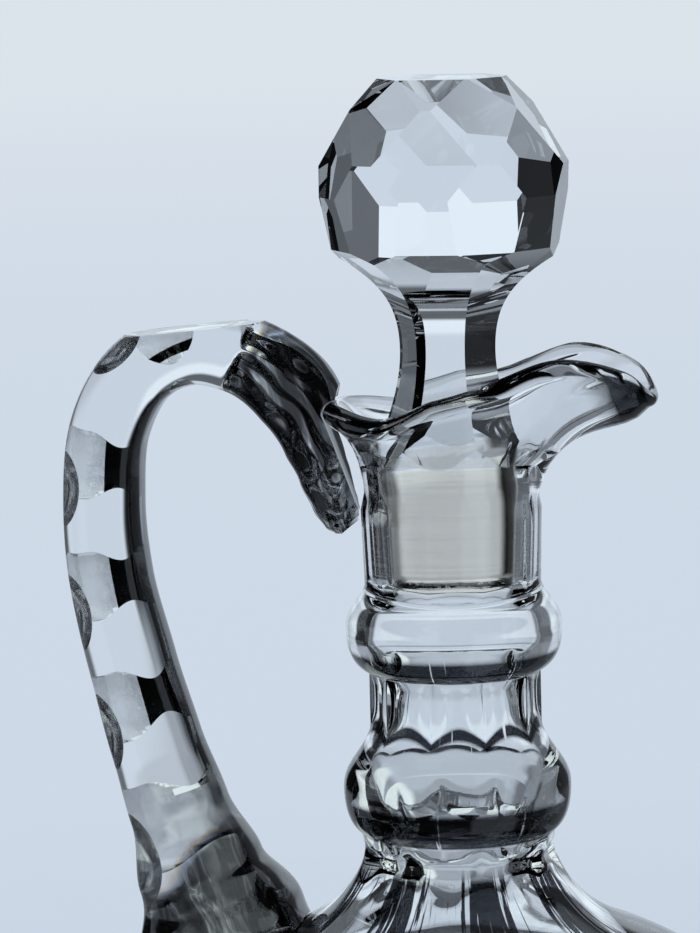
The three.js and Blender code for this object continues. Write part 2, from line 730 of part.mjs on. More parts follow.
function part(name, solid, look) {
  const mesh = new THREE.Mesh(toGeometry(solid), new THREE.MeshStandardMaterial(look));
  mesh.name = name;
  return mesh;
}

const cruet = new THREE.Group();
cruet.name = 'cruet';
cruet.add(part('vessel', buildVessel(), glass));
cruet.add(part('handle', buildHandle(), glass));
cruet.add(part('stopper', buildStopper(), groundGlass));

export default cruet;
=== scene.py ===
"""Cut-glass cruet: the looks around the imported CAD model. Millimetres inside, metres in Blender."""

import math
from itertools import combinations

import bmesh
import bpy
import numpy as np
from mathutils import Matrix, Vector


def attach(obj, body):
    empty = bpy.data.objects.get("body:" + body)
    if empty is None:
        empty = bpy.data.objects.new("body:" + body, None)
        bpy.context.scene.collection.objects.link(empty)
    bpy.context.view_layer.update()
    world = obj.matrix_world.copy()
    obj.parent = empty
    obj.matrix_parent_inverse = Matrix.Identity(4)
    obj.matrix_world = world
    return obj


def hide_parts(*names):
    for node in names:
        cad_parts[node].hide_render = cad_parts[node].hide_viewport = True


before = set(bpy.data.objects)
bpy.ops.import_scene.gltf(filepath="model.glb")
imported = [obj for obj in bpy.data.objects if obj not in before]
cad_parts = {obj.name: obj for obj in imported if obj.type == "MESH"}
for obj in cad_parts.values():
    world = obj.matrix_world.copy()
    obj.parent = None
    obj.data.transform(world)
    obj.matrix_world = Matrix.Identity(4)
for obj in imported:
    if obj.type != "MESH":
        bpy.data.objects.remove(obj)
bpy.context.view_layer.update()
MM = 0.001

# Sizes that repeat those of the CAD source, in millimetres
BASE_RADIUS, BASE_BEVEL, FOOT_HEIGHT, FOOT_WAIST = 34.0, 1.2, 4.0, 32.5
BODY_RADIUS, BODY_WIDEST, SHOULDER_Z, SHOULDER_R = 42.0, 26.0, 50.0, 21.5
BODY_WALL, BASE_THICK = 4.2, 7.0
WAIST, WAIST_RADIUS = 62.0, 11.4
LOWER_RING = dict(bottom=0.6, widest=6.2, top=16.2, radius=13.6)
UPPER_RING = dict(bottom=19.8, widest=25.6, top=33.2, radius=12.9)
RING_CROWN, RING_FILLET = 0.6, 0.35
MID_CORNER, LOW_TOP_CORNER, TOP_CORNER = 10.25, 10.35, 10.75
PANELS, PANEL_CORNER_AT, CORE_INSET, RUN_OUT = 10, 11.0, 0.08, 3.0
SHOULDER_PANELS, SHOULDER_CORNER_AT = 8, 22.5
# Corners of the shoulder panels: depth below the waist, and radius beyond the waist's
SHOULDER_LINE = [(14, 22.1), (10.5, 10.8), (6, 3.2), (3, 0.8), (0.8, 0.1)]
BORE = 6.3
SOCKET_BOTTOM, SOCKET_TOP, SOCKET_LOW_R, SOCKET_HIGH_R, SOCKET_SHOULDER = 29.8, 45.2, 7.7, 8.5, 1.6
CLEARANCE, CHAMFER = 0.3, 0.6
LIP_START, RIM_LOW, RIM_BACK, RIM_TIP, RIM_HALF_WIDTH = 39.5, 50.3, 13.5, 23.8, 11.8
RIM_FULLNESS, RIM_HALF, RIM_BACK_HALF = 2.15, 1.05, 1.45
LIP_TURN, LIP_PULL, LIP_INNER_START = 2.2, 0.07, 1.0
# Rim: place from the handle's side (-1) to the lip (1), and height over RIM_LOW
RIM_RISE = [(-1, 0.7), (-0.4, -0.1), (0.22, 3.6), (0.6, 6.7), (0.88, 5.2), (1, 2.2)]
BALL_RADIUS, BALL_Z, BALL_TABLE, BALL_BOTTOM = 14.8, 78.3, 12.1, 11.0
# Rows of six facets: elevation, distance from the ball's middle as a share of its radius, azimuth of the
# first, and the distance of those that face the lip or the handle
BALL_ROWS = [
    (54, 0.946, 30, 0.946), (35, 0.919, 0, 0.882), (16, 0.926, 30, 0.926), (-9, 0.959, 0, 0.949),
    (-14, 0.986, 30, 0.986)]
STEM_WAIST_Z, STEM_FLAT, SPREAD_FLAT, SPREAD_Z, STEM_BLANK = 58.2, 4.95, 14.5, 71.4, 10.5
HANDLE_REACH, HANDLE_RISE, HANDLE_WIDTH, HANDLE_DEPTH = 42.6, 58.9, 9.4, 9.6
HANDLE_GAP, ROOM_RISE, ROOM_LEAN = 0.3, 9.0, 4.0
# Centre line of the handle: shares of its reach and rise from the waist, and of its width
HANDLE_PATH = [
    (0.282, 0.633, 0.19), (0.29, 0.64, 0.33), (0.304, 0.655, 0.47), (0.322, 0.686, 0.59),
    (0.34, 0.737, 0.74), (0.364, 0.806, 0.92), (0.434, 0.908, 1.1), (0.57, 0.98, 1.02),
    (0.73, 1, 0.98), (0.875, 0.949, 0.96), (0.967, 0.839, 0.98), (0.993, 0.686, 1),
    (0.98, 0.526, 1.03), (0.925, 0.346, 1.085), (0.866, 0.187, 1.15), (0.803, 0.044, 1.255),
    (0.745, -0.085, 1.6), (0.69, -0.195, 2.13), (0.66, -0.306, 2.55)]
TOP_FLAT, TOP_FLAT_TILT, TOP_FLAT_OUT = 61.2, 5.5, 0.7
SQUARENESS, PLAIN_WIDTH = 3.2, 11.0
NOTCHES, NOTCH_FIRST, NOTCH_PITCH, NOTCH_WHEEL = 5, 56.2, 14.1, 10.0
# Notches of each side: side, the wheel's angle, the place of its rim in half widths, and how much higher
NOTCH_SIDES = [(-1, 30.0, 0.86, 0.0), (1, 72.0, 0.87, 1.9)]
FLUTES, FLUTE_RADIUS, FLUTE_HALF_WIDTH, FLUTE_HALF_HEIGHT = 16, 40.0, 6.4, 10.2
FLUTE_MIDDLE, FLUTE_DEPTH = 10.5, 1.8
STAR_POINTS, STAR_START, STAR_HALF_WIDTH, STAR_DEPTH = 16, -101.25, 1.4, 0.85
STAR_FROM, STAR_TO, STAR_FADE = 5.0, 29.0, 2.5

# Forms that only this script has: a bore that swells inside the rings (height over the waist, radius), neck
# panels softened over the ground seat, a fuller underside at the lip's tip, and softly blended panel edges
BORE_LINE = [
    (28.4, 7.7), (26.6, 9.5), (24.4, 10.2), (22.2, 9.5), (19.8, 8.0), (17.4, 7.3), (14.8, 7.4), (12.2, 8.5),
    (9.4, 10.2), (6.8, 10.8), (4.2, 10.1), (1.8, 8.7), (-0.8, 7.6), (-3.96, 6.9)]
SEAT_ROUND, SEAT_ROUND_FROM, SEAT_ROUND_FULL = 0.6, 26.0, 31.0
TIP_DROP, TIP_DROP_FACTOR, TIP_DROP_FROM = 1.3, 2.2, 0.6
PANEL_BLEND, SHOULDER_BLEND = 0.06, 0.08

# Counts of the finer meshes, and the angles in degrees above which their edges stay sharp
COLUMNS, LIP_STEPS, RIM_STEPS, SOCKET_STEPS = 300, 16, 8, 9
BASE_RADII = [2.5, 4.2] + list(np.linspace(5, 29.5, 19)) + [31.0, 32.4]
STEM_SIDES, ROOM_SIDES, WHEEL_SIDES, HANDLE_STEPS = 144, 180, 180, 22
STOPPER_SHARP, HANDLE_SHARP = 11, 22

# The tail that was drawn hot down the neck: a keel and combed ridges on its far side, by places on the path
FOLD_FROM, FOLD_FULL = 7.35, 7.1
KEEL_POWER, RIDGES, RIDGE_HEIGHT = 1.02, 6, 0.13
SECTION_POINTS = 96

# Share of the handle's path beyond which its notches lie
OUTER_RUN = 0.4


def mix(a, b, t):
    return a + (b - a) * t


def smooth_step(x, low, high):
    t = min(1.0, max(0.0, (x - low) / (high - low)))
    return t * t * (3 - 2 * t)


def smax(a, b, k):
    """The larger of two, blended over a width of k."""
    return 0.5 * (a + b + math.sqrt((a - b) ** 2 + k * k))


def smin(a, b, k):
    return 0.5 * (a + b - math.sqrt((a - b) ** 2 + k * k))


def bezier(points, steps):
    """Points on a curve of three or four control points, without its first."""
    pts = [np.array(p, float) for p in points]
    out = []
    for i in range(1, steps + 1):
        t = i / steps
        if len(pts) == 4:
            w = ((1 - t) ** 3, 3 * t * (1 - t) ** 2, 3 * t * t * (1 - t), t ** 3)
        else:
            w = ((1 - t) ** 2, 2 * t * (1 - t), t * t)
        out.append(tuple(sum(wi * p for wi, p in zip(w, pts))))
    return out


def spline(points, steps):
    """A smooth curve through points, by uniform Catmull-Rom."""
    p = [np.array(q, float) for q in points]
    p = [2 * p[0] - p[1]] + p + [2 * p[-1] - p[-2]]
    out = []
    for k in range(1, len(p) - 2):
        for i in range(steps):
            t = i / steps
            out.append(0.5 * (2 * p[k] + (p[k + 1] - p[k - 1]) * t
                              + (2 * p[k - 1] - 5 * p[k] + 4 * p[k + 1] - p[k + 2]) * t * t
                              + (3 * p[k] - p[k - 1] - 3 * p[k + 1] + p[k + 2]) * t ** 3))
    out.append(p[-2])
    return out


def mesh_object(name, verts, faces):
    """A smooth-shaded object from points in millimetres."""
    mesh = bpy.data.meshes.new(name)
    mesh.from_pydata([tuple(c * MM for c in v) for v in verts], [], faces)
    mesh.validate()
    obj = bpy.data.objects.new(name, mesh)
    bpy.context.scene.collection.objects.link(obj)
    for polygon in mesh.polygons:
        polygon.use_smooth = True
    return obj


def skin(rings):
    """Closed mesh through rings of points, with a fan at each end. Faces look outward for rings that run
    from low to high and turn anticlockwise seen from above."""
    count = len(rings[0])
    verts = [tuple(np.mean(rings[0], axis=0))]
    for ring in rings:
        verts.extend(tuple(p) for p in ring)
    verts.append(tuple(np.mean(rings[-1], axis=0)))
    faces = []
    for k in range(count):
        n = (k + 1) % count
        faces.append((0, 1 + n, 1 + k))
        for r in range(len(rings) - 1):
            low, high = 1 + r * count, 1 + (r + 1) * count
            faces.append((low + k, low + n, high + n, high + k))
        top = 1 + (len(rings) - 1) * count
        faces.append((top + k, top + n, len(verts) - 1))
    return verts, faces


# vessel
def core(corner):
    """Radius of the round core, just inside the neck's flats."""
    return corner * math.cos(math.pi / PANELS) - CORE_INSET


def angle_off(theta, start, count):
    """Degrees from the middle of the nearest flat of a prism whose corners start at start."""
    step = 360.0 / count
    return (theta - start) % step - step / 2


def prism_radius(theta, corner, start, count):
    return corner * math.cos(math.pi / count) / math.cos(math.radians(angle_off(theta, start, count)))


def bulge(ring, low_r, high_r):
    """Profile of a neck ring, from its waist below to the neck above."""
    low, mid, high = (WAIST + ring[k] for k in ("bottom", "widest", "top"))
    r = ring["radius"]
    under = bezier([
        (low_r, low),
        (r - RING_CROWN, mix(low, mid, 0.15)),
        (r, mix(low, mid, 0.5)),
        (r, mid)], 18)
    over = bezier([
        (r, mid),
        (r, mix(mid, high, 0.34)),
        (high_r + RING_FILLET, mix(mid, high, 0.43)),
        (high_r, high)], 24)
    return under + over


def outer_profile():
    """Radii and heights of the outside, from the base's bevel to where the lip starts."""
    foot = [
        (BASE_RADIUS - BASE_BEVEL * 0.6, 0.06), (BASE_RADIUS - BASE_BEVEL * 0.2, 0.4),
        (BASE_RADIUS, BASE_BEVEL), (BASE_RADIUS - 0.25, BASE_BEVEL + 0.9),
        (FOOT_WAIST + 0.2, FOOT_HEIGHT - 0.9), (FOOT_WAIST, FOOT_HEIGHT)]
    body = bezier([
        (FOOT_WAIST, FOOT_HEIGHT),
        (mix(FOOT_WAIST, BODY_RADIUS, 0.63), mix(FOOT_HEIGHT, BODY_WIDEST, 0.23)),
        (BODY_RADIUS, mix(FOOT_HEIGHT, BODY_WIDEST, 0.59)),
        (BODY_RADIUS, BODY_WIDEST)], 20)
    shoulder = bezier([
        (BODY_RADIUS, BODY_WIDEST),
        (BODY_RADIUS, mix(BODY_WIDEST, SHOULDER_Z, 0.54)),
        (mix(SHOULDER_R, BODY_RADIUS, 0.44), mix(BODY_WIDEST, SHOULDER_Z, 0.854)),
        (SHOULDER_R, SHOULDER_Z)], 23)
    flare = bezier([
        (SHOULDER_R, SHOULDER_Z),
        (mix(SHOULDER_R, WAIST_RADIUS, 0.594), mix(SHOULDER_Z, WAIST, 0.22)),
        (mix(SHOULDER_R, WAIST_RADIUS, 0.96), mix(SHOULDER_Z, WAIST, 0.54)),
        (WAIST_RADIUS, mix(SHOULDER_Z, WAIST, 0.96))], 24)
    mid, low_top = core(MID_CORNER), core(LOW_TOP_CORNER)
    low, high = WAIST + LOWER_RING["top"], WAIST + UPPER_RING["bottom"]
    rings = bulge(LOWER_RING, WAIST_RADIUS, mid)
    rings += [(mid, mix(low, high, t)) for t in (0.35, 0.7, 1.0)]
    rings += bulge(UPPER_RING, mid, low_top)
    low, high = WAIST + UPPER_RING["top"], WAIST + LIP_START
    neck = [(mix(low_top, core(TOP_CORNER), t), mix(low, high, t)) for t in (0.25, 0.5, 0.75, 1.0)]
    return foot + body + shoulder + flare + rings + neck


def inner_profile():
    """Radii and heights of the inside, from the socket's top to the floor of the body."""
    hollow = BODY_RADIUS - BODY_WALL
    bore_end = mix(SHOULDER_Z, WAIST, 0.67)
    top, low = WAIST + SOCKET_TOP, WAIST + SOCKET_BOTTOM
    steps = np.linspace(0, 1, SOCKET_STEPS)
    socket = [(mix(SOCKET_HIGH_R, SOCKET_LOW_R, t), mix(top, low, t)) for t in steps]
    bore_top = BORE_LINE[0][1]
    ledge = [(mix(SOCKET_LOW_R, bore_top, smooth_step(t, 0, 1)), low - SOCKET_SHOULDER * t)
             for t in (0.25, 0.5, 0.75)]
    bore = [(r, WAIST + z) for z, r in spline(BORE_LINE, 4)]
    shoulder = bezier([
        (BORE, bore_end),
        (BORE, mix(bore_end, BODY_WIDEST, 0.28)),
        (hollow, mix(bore_end, BODY_WIDEST, 0.45)),
        (hollow, BODY_WIDEST)], 16)
    body = bezier([
        (hollow, BODY_WIDEST),
        (hollow, mix(BODY_WIDEST, BASE_THICK, 0.68)),
        ((FOOT_WAIST - BODY_WALL) * 0.9, mix(BASE_THICK, BODY_WIDEST, 0.03)),
        (FOOT_WAIST * 0.5, BASE_THICK)], 12)
    return socket + ledge + bore + shoulder + body + [(FOOT_WAIST * 0.2, BASE_THICK)]


rise_curve = np.array(spline(RIM_RISE, 24))
line_z = [WAIST - d for d, _ in SHOULDER_LINE]
line_curve = np.array(spline([(WAIST - d, WAIST_RADIUS + b) for d, b in SHOULDER_LINE], 12))


def rise_at(along):
    """Height of the rim over its lowest line, for a place from handle (-1) to lip (1)."""
    return float(np.interp(along, rise_curve[:, 0], rise_curve[:, 1]))


def rim_point(t):
    """Middle of the rim at an angle from the lip."""
    power = 2 / RIM_FULLNESS
    c, s = math.cos(t), math.sin(t)
    along = math.copysign(abs(c) ** power, c)
    across = math.copysign(abs(s) ** power, s) * RIM_HALF_WIDTH
    return np.array([(RIM_TIP if c > 0 else RIM_BACK) * along, across, WAIST + RIM_LOW + rise_at(along)])


def lip_middle(t, share):
    """Middle of the lip's wall, from the neck (0) to the rim (1)."""
    neck = (SOCKET_HIGH_R + core(TOP_CORNER)) / 2
    rim = rim_point(t)
    foot = np.array([neck * math.cos(t), neck * math.sin(t), WAIST + LIP_START])
    swell = 1 + LIP_PULL * (1 + math.cos(t))
    pull = np.array([foot[0] * swell, foot[1] * swell, rim[2] - LIP_TURN])
    return (1 - share) ** 2 * foot + 2 * share * (1 - share) * pull + share * share * rim


def lip_normal(t, share):
    step = 0.02
    along = lip_middle(t, min(1, share + step)) - lip_middle(t, max(0, share - step))
    around = lip_middle(t + step, share) - lip_middle(t - step, share)
    n = np.cross(around, along)
    return n / np.linalg.norm(n)


def neck_corner(z):
    """Radius of the neck's corners. Above the lip's start they sink into the round wall."""
    ring_z, lip_z = WAIST + UPPER_RING["widest"], WAIST + LIP_START
    low = LOW_TOP_CORNER if z > ring_z else MID_CORNER
    high = core(TOP_CORNER) - CORE_INSET
    return float(np.interp(z, [ring_z, lip_z, lip_z + RUN_OUT], [low, TOP_CORNER, high]))


def flute_cut(theta, z):
    """Depth that the hollow flutes take off the lower body."""
    off = math.radians(angle_off(theta, 0, FLUTES)) * FLUTE_RADIUS
    u = off / FLUTE_HALF_WIDTH
    v = (z - FOOT_HEIGHT - FLUTE_MIDDLE) / FLUTE_HALF_HEIGHT
    return FLUTE_DEPTH * max(0.0, 1 - u * u - v * v)


def outer_radius(theta, r, z):
    """Radius of the outside at an angle, with neck panels, shoulder panels and flutes."""
    low = WAIST + LOWER_RING["widest"]
    if low < z < WAIST + LIP_START + 0.01:
        corner = MID_CORNER if z < WAIST + UPPER_RING["widest"] else neck_corner(z)
        flat = prism_radius(theta, corner, PANEL_CORNER_AT, PANELS)
        softened = SEAT_ROUND * smooth_step(z, WAIST + SEAT_ROUND_FROM, WAIST + SEAT_ROUND_FULL)
        return smax(r, mix(flat, corner, softened), PANEL_BLEND)
    if line_z[0] < z < line_z[-1]:
        corner = float(np.interp(z, line_curve[:, 0], line_curve[:, 1]))
        flat = prism_radius(theta, corner, SHOULDER_CORNER_AT, SHOULDER_PANELS)
        return smin(r, flat, SHOULDER_BLEND)
    if FOOT_HEIGHT < z < BODY_WIDEST:
        return r - flute_cut(theta, z)
    return r


def star_rise(theta, r):
    """Height that the mitre star cuts into the base."""
    off = math.radians(angle_off(theta, STAR_START, STAR_POINTS)) * r
    across = max(0.0, 1 - abs(off) / STAR_HALF_WIDTH)
    from_middle = min(1.0, max(0.0, (r - STAR_FROM) / STAR_FADE))
    from_rim = min(1.0, max(0.0, (STAR_TO - r) / STAR_FADE))
    return STAR_DEPTH * across * from_middle * from_rim


def vessel_column(theta, outer, inner):
    """Points at one angle, up the outside and down the inside, and the count before the socket."""
    t = math.radians(theta)
    c, s = math.cos(t), math.sin(t)
    out = [(r * c, r * s, star_rise(theta, r)) for r in BASE_RADII]
    for r, z in outer:
        q = outer_radius(theta, r, z)
        out.append((q * c, q * s, z))
    half_wall = (core(TOP_CORNER) - SOCKET_HIGH_R) / 2
    rim_half = mix(RIM_BACK_HALF, RIM_HALF, (1 + c) / 2)
    inside = []
    for k in range(1, LIP_STEPS + 1):
        share = k / LIP_STEPS
        half = mix(half_wall, rim_half, share)
        normal, middle = lip_normal(t, share), lip_middle(t, share)
        fullness = TIP_DROP_FACTOR * share ** 3 * (1 - share ** 8)
        drop = TIP_DROP * smooth_step(c, TIP_DROP_FROM, 1.0) * fullness
        p = middle + normal * (half + drop)
        if p[2] < WAIST + LIP_START + RUN_OUT:
            r = math.hypot(p[0], p[1])
            flat = prism_radius(theta, neck_corner(p[2]), PANEL_CORNER_AT, PANELS)
            wide = smax(r, mix(flat, neck_corner(p[2]), SEAT_ROUND), PANEL_BLEND)
            p = np.array([p[0] * wide / r, p[1] * wide / r, p[2]])
        out.append(tuple(p))
        if middle[2] > WAIST + SOCKET_TOP + LIP_INNER_START:
            inside.append(tuple(middle - normal * half))
        else:
            z = WAIST + SOCKET_TOP + LIP_INNER_START * share
            inside.append((SOCKET_HIGH_R * c, SOCKET_HIGH_R * s, z))
    end, normal = lip_middle(t, 1), lip_normal(t, 1)
    outward = end - lip_middle(t, 0.97)
    outward /= np.linalg.norm(outward)
    for k in range(1, RIM_STEPS + 1):
        a = k * math.pi / (RIM_STEPS + 1)
        out.append(tuple(end + normal * rim_half * math.cos(a) + outward * rim_half * math.sin(a)))
    out.extend(reversed(inside))
    socket_at = len(out)
    out.extend((r * c, r * s, z) for r, z in inner)
    return out, socket_at


def build_vessel():
    """The vessel as rings of points. The socket's wall has the second material."""
    outer, inner = outer_profile(), inner_profile()
    columns = [vessel_column(360.0 * k / COLUMNS, outer, inner) for k in range(COLUMNS)]
    at = columns[0][1]
    rings = [[columns[k][0][i] for k in range(COLUMNS)] for i in range(len(columns[0][0]))]
    verts, faces = skin(rings)
    obj = mesh_object("vessel_cut_glass", verts, faces)
    low, high = 1 + at * COLUMNS, 1 + (at + SOCKET_STEPS) * COLUMNS
    for polygon in obj.data.polygons:
        if all(low - COLUMNS <= v < high for v in polygon.vertices):
            polygon.material_index = 1
    return obj


# stopper
def cut_by(obj, other, operation):
    """Joins or cuts one solid by another, which is then gone."""
    modifier = obj.modifiers.new("cut", "BOOLEAN")
    modifier.object = other
    modifier.operation = operation
    modifier.solver = "MANIFOLD"
    with bpy.context.temp_override(object=obj, active_object=obj, selected_objects=[obj]):
        bpy.ops.object.modifier_apply(modifier=modifier.name)
    bpy.data.objects.remove(other)
    obj.data.materials.clear()


def polyhedron(name, planes, centre):
    """The solid inside all planes, each a normal and its distance from the centre."""
    normals = np.array([n for n, _ in planes])
    reach = np.array([d for _, d in planes])
    bm = bmesh.new()
    for three in combinations(range(len(planes)), 3):
        corner_of = normals[list(three)]
        if abs(np.linalg.det(corner_of)) > 1e-6:
            p = np.linalg.solve(corner_of, reach[list(three)])
            if np.all(normals @ p <= reach + 1e-6):
                bm.verts.new(tuple((p + centre) * MM))
    bmesh.ops.remove_doubles(bm, verts=bm.verts, dist=1e-7)
    bmesh.ops.convex_hull(bm, input=bm.verts)
    bmesh.ops.dissolve_limit(bm, angle_limit=0.002, verts=bm.verts, edges=bm.edges)
    bmesh.ops.recalc_face_normals(bm, faces=bm.faces)
    mesh = bpy.data.meshes.new(name)
    bm.to_mesh(mesh)
    bm.free()
    obj = bpy.data.objects.new(name, mesh)
    bpy.context.scene.collection.objects.link(obj)
    return obj


def turned(name, profile, sides):
    """A turned solid from (radius, height) pairs without its two axis points."""
    angles = [math.radians(360.0 * k / sides) for k in range(sides)]
    rings = [[(r * math.cos(a), r * math.sin(a), z) for a in angles] for r, z in profile]
    return mesh_object(name, *skin(rings))


def plug_radius(up):
    """Radius of the ground plug at a height over the waist."""
    share = (up - SOCKET_BOTTOM) / (SOCKET_TOP - SOCKET_BOTTOM)
    return mix(SOCKET_LOW_R, SOCKET_HIGH_R, share) - CLEARANCE


def build_stopper():
    """Ball of facets, six-sided stem and ground plug in one solid. The plug has the second material."""
    planes = [((0, 0, 1), BALL_TABLE), ((0, 0, -1), BALL_BOTTOM)]
    for elevation, distance, turn, ends in BALL_ROWS:
        e = math.radians(elevation)
        for k in range(6):
            a = math.radians(turn + 60 * k)
            d = BALL_RADIUS * (ends if abs(math.cos(a)) > 0.9 else distance)
            planes.append(((math.cos(e) * math.cos(a), math.cos(e) * math.sin(a), math.sin(e)), d))
    ball = polyhedron("stopper_ball_glass", planes, np.array([0, 0, WAIST + BALL_Z]))
    low = SOCKET_BOTTOM + CLEARANCE
    top = plug_radius(SOCKET_TOP)
    head = WAIST + BALL_Z - BALL_BOTTOM + CHAMFER
    end = plug_radius(low)
    profile = [(end - CHAMFER - 2, WAIST + low), (end - CHAMFER, WAIST + low)]
    profile += [(end - CHAMFER * (1 - t), WAIST + low + CHAMFER * t * t) for t in (0.4, 0.75, 1.0)]
    profile += [(mix(end, top, t), WAIST + mix(low + CHAMFER, SOCKET_TOP, t))
                for t in np.linspace(0.08, 1, 12)]
    profile += [
        (top, WAIST + SOCKET_TOP + 2 * CHAMFER), (STEM_BLANK, WAIST + STEM_WAIST_Z),
        (STEM_BLANK, head), (STEM_BLANK - 2, head)]
    stem = turned("stem_blank", profile, STEM_SIDES)
    cut_by(ball, stem, "UNION")
    corner = 1 / math.cos(math.pi / 6)
    flare = bezier([
        (top, WAIST + SOCKET_TOP),
        (STEM_FLAT, WAIST + mix(SOCKET_TOP, STEM_WAIST_Z, 0.6)),
        (STEM_FLAT, WAIST + STEM_WAIST_Z)], 28)
    spread = bezier([
        (STEM_FLAT, WAIST + STEM_WAIST_Z),
        (STEM_FLAT, WAIST + mix(STEM_WAIST_Z, SPREAD_Z, 0.48)),
        (SPREAD_FLAT / 2, WAIST + mix(STEM_WAIST_Z, SPREAD_Z, 0.68)),
        (SPREAD_FLAT, WAIST + SPREAD_Z)], 40)
    wide = 2 * SPREAD_FLAT
    outline = [(wide, WAIST), (wide, WAIST + SOCKET_TOP - CHAMFER), (top, WAIST + SOCKET_TOP)]
    outline += flare + spread + [(wide, WAIST + BALL_Z), (wide, WAIST + BALL_Z + wide)]
    prism = turned("stem_panels", [(r * corner, z) for r, z in outline], 6)
    cut_by(ball, prism, "INTERSECT")
    ball.data.set_sharp_from_angle(angle=math.radians(STOPPER_SHARP))
    for polygon in ball.data.polygons:
        polygon.use_smooth = True
        up = polygon.center.z / MM - WAIST
        upright = abs(polygon.normal.z) < 0.5
        if up < SOCKET_TOP - CLEARANCE and upright:
            polygon.material_index = 1
    return ball


# handle
def centripetal(points, steps):
    """A smooth curve through points, as three's centripetal Catmull-Rom, and the place of each step."""
    p = [points[0] * 2 - points[1]] + points + [points[-1] * 2 - points[-2]]
    out, places = [], []
    for k in range(1, len(p) - 2):
        a, b, c, d = p[k - 1:k + 3]
        t0 = 0.0
        t1 = t0 + np.linalg.norm(b - a) ** 0.5
        t2 = t1 + np.linalg.norm(c - b) ** 0.5
        t3 = t2 + np.linalg.norm(d - c) ** 0.5
        for i in range(steps + (1 if k == len(p) - 3 else 0)):
            t = mix(t1, t2, i / steps)
            a1 = (t1 - t) / (t1 - t0) * a + (t - t0) / (t1 - t0) * b
            a2 = (t2 - t) / (t2 - t1) * b + (t - t1) / (t2 - t1) * c
            a3 = (t3 - t) / (t3 - t2) * c + (t - t2) / (t3 - t2) * d
            b1 = (t2 - t) / (t2 - t0) * a1 + (t - t0) / (t2 - t0) * a2
            b2 = (t3 - t) / (t3 - t1) * a2 + (t - t1) / (t3 - t1) * a3
            out.append((t2 - t) / (t2 - t1) * b1 + (t - t1) / (t2 - t1) * b2)
            places.append(k - 1 + i / steps)
    return out, places


def handle_ring(point, along, outward, width, place):
    """The section: flat cheeks and round corners. The drawn tail has a keel and ridges on its far side."""
    side = np.array([0.0, 1.0, 0.0])
    depth = HANDLE_DEPTH * (1 + max(0.0, width / PLAIN_WIDTH - 1))
    fold = 1 - smooth_step(place, FOLD_FULL, FOLD_FROM)
    ring = []
    for j in range(SECTION_POINTS):
        a = 2 * math.pi * (j + 0.5) / SECTION_POINTS
        c, s = math.cos(a), math.sin(a)
        power = 2 / mix(SQUARENESS, KEEL_POWER, fold if s > 0 else 0)
        u = math.copysign(abs(c) ** power, c) * width / 2
        v = math.copysign(abs(s) ** power, s) * depth / 2
        if s > 0:
            across = u / width
            wander = 0.35 * math.sin(place * 2.3) + 0.2 * math.sin(place * 5.1 + 1)
            ridge = math.sin(2 * math.pi * RIDGES * across + wander * 4)
            ridge += 0.4 * math.sin(31 * across + place * 3.7)
            fade = min(1.0, width / 5) * smooth_step(s, 0.0, 0.35)
            v -= fold * fade * RIDGE_HEIGHT * (1.3 + ridge)
        ring.append(tuple(point + outward * u + side * v))
    return ring


def vessel_room():
    """The room that the handle leaves round neck, rim and shoulder."""
    wall = [(r + HANDLE_GAP, z) for r, z in outer_profile()]
    ring_z = WAIST + LOWER_RING["widest"]
    room = [(r if z <= ring_z else max(r, TOP_CORNER + HANDLE_GAP), z) for r, z in wall]
    rim_z = rim_point(math.pi)[2]
    half = RIM_BACK_HALF + HANDLE_GAP
    room.append((RIM_BACK + half, rim_z))
    for a in np.radians([18, 36, 54, 72, 90]):
        room.append((RIM_BACK + half * math.cos(a), rim_z + half * math.sin(a)))
    room.append((RIM_BACK + half - ROOM_LEAN, rim_z + ROOM_RISE))
    return turned("vessel_room", room, ROOM_SIDES)


def placed(name, bm, place):
    """An object from a mesh in millimetres, at a placing in millimetres."""
    bmesh.ops.transform(bm, matrix=Matrix.Diagonal((MM, MM, MM, 1)) @ place, verts=bm.verts)
    mesh = bpy.data.meshes.new(name)
    bm.to_mesh(mesh)
    bm.free()
    obj = bpy.data.objects.new(name, mesh)
    bpy.context.scene.collection.objects.link(obj)
    return obj


def block(name, size, place):
    bm = bmesh.new()
    bmesh.ops.create_cube(bm, size=1)
    return placed(name, bm, place @ Matrix.Diagonal((*size, 1)))


def notch_wheel(frame_at, hand, angle, depth):
    """The wheel that cuts one notch, its rim depth half widths away from the centre line."""
    point, along, outward, width = frame_at
    c, s = math.cos(math.radians(angle)), math.sin(math.radians(angle))
    to = outward * c + np.array([0.0, hand * s, 0.0])
    axle = np.cross(to, along)
    axle /= np.linalg.norm(axle)
    half = math.hypot(width * c, HANDLE_DEPTH * s) / 2
    middle = point + to * (half * depth + NOTCH_WHEEL)
    third = np.cross(to, axle)
    basis = Matrix((tuple(to) + (0,), tuple(third) + (0,), tuple(axle) + (0,), (0, 0, 0, 1))).transposed()
    bm = bmesh.new()
    bmesh.ops.create_cone(bm, cap_ends=True, segments=WHEEL_SIDES, radius1=NOTCH_WHEEL, radius2=NOTCH_WHEEL,
                          depth=3 * HANDLE_DEPTH)
    return placed("wheel", bm, Matrix.Translation(Vector(middle)) @ basis)


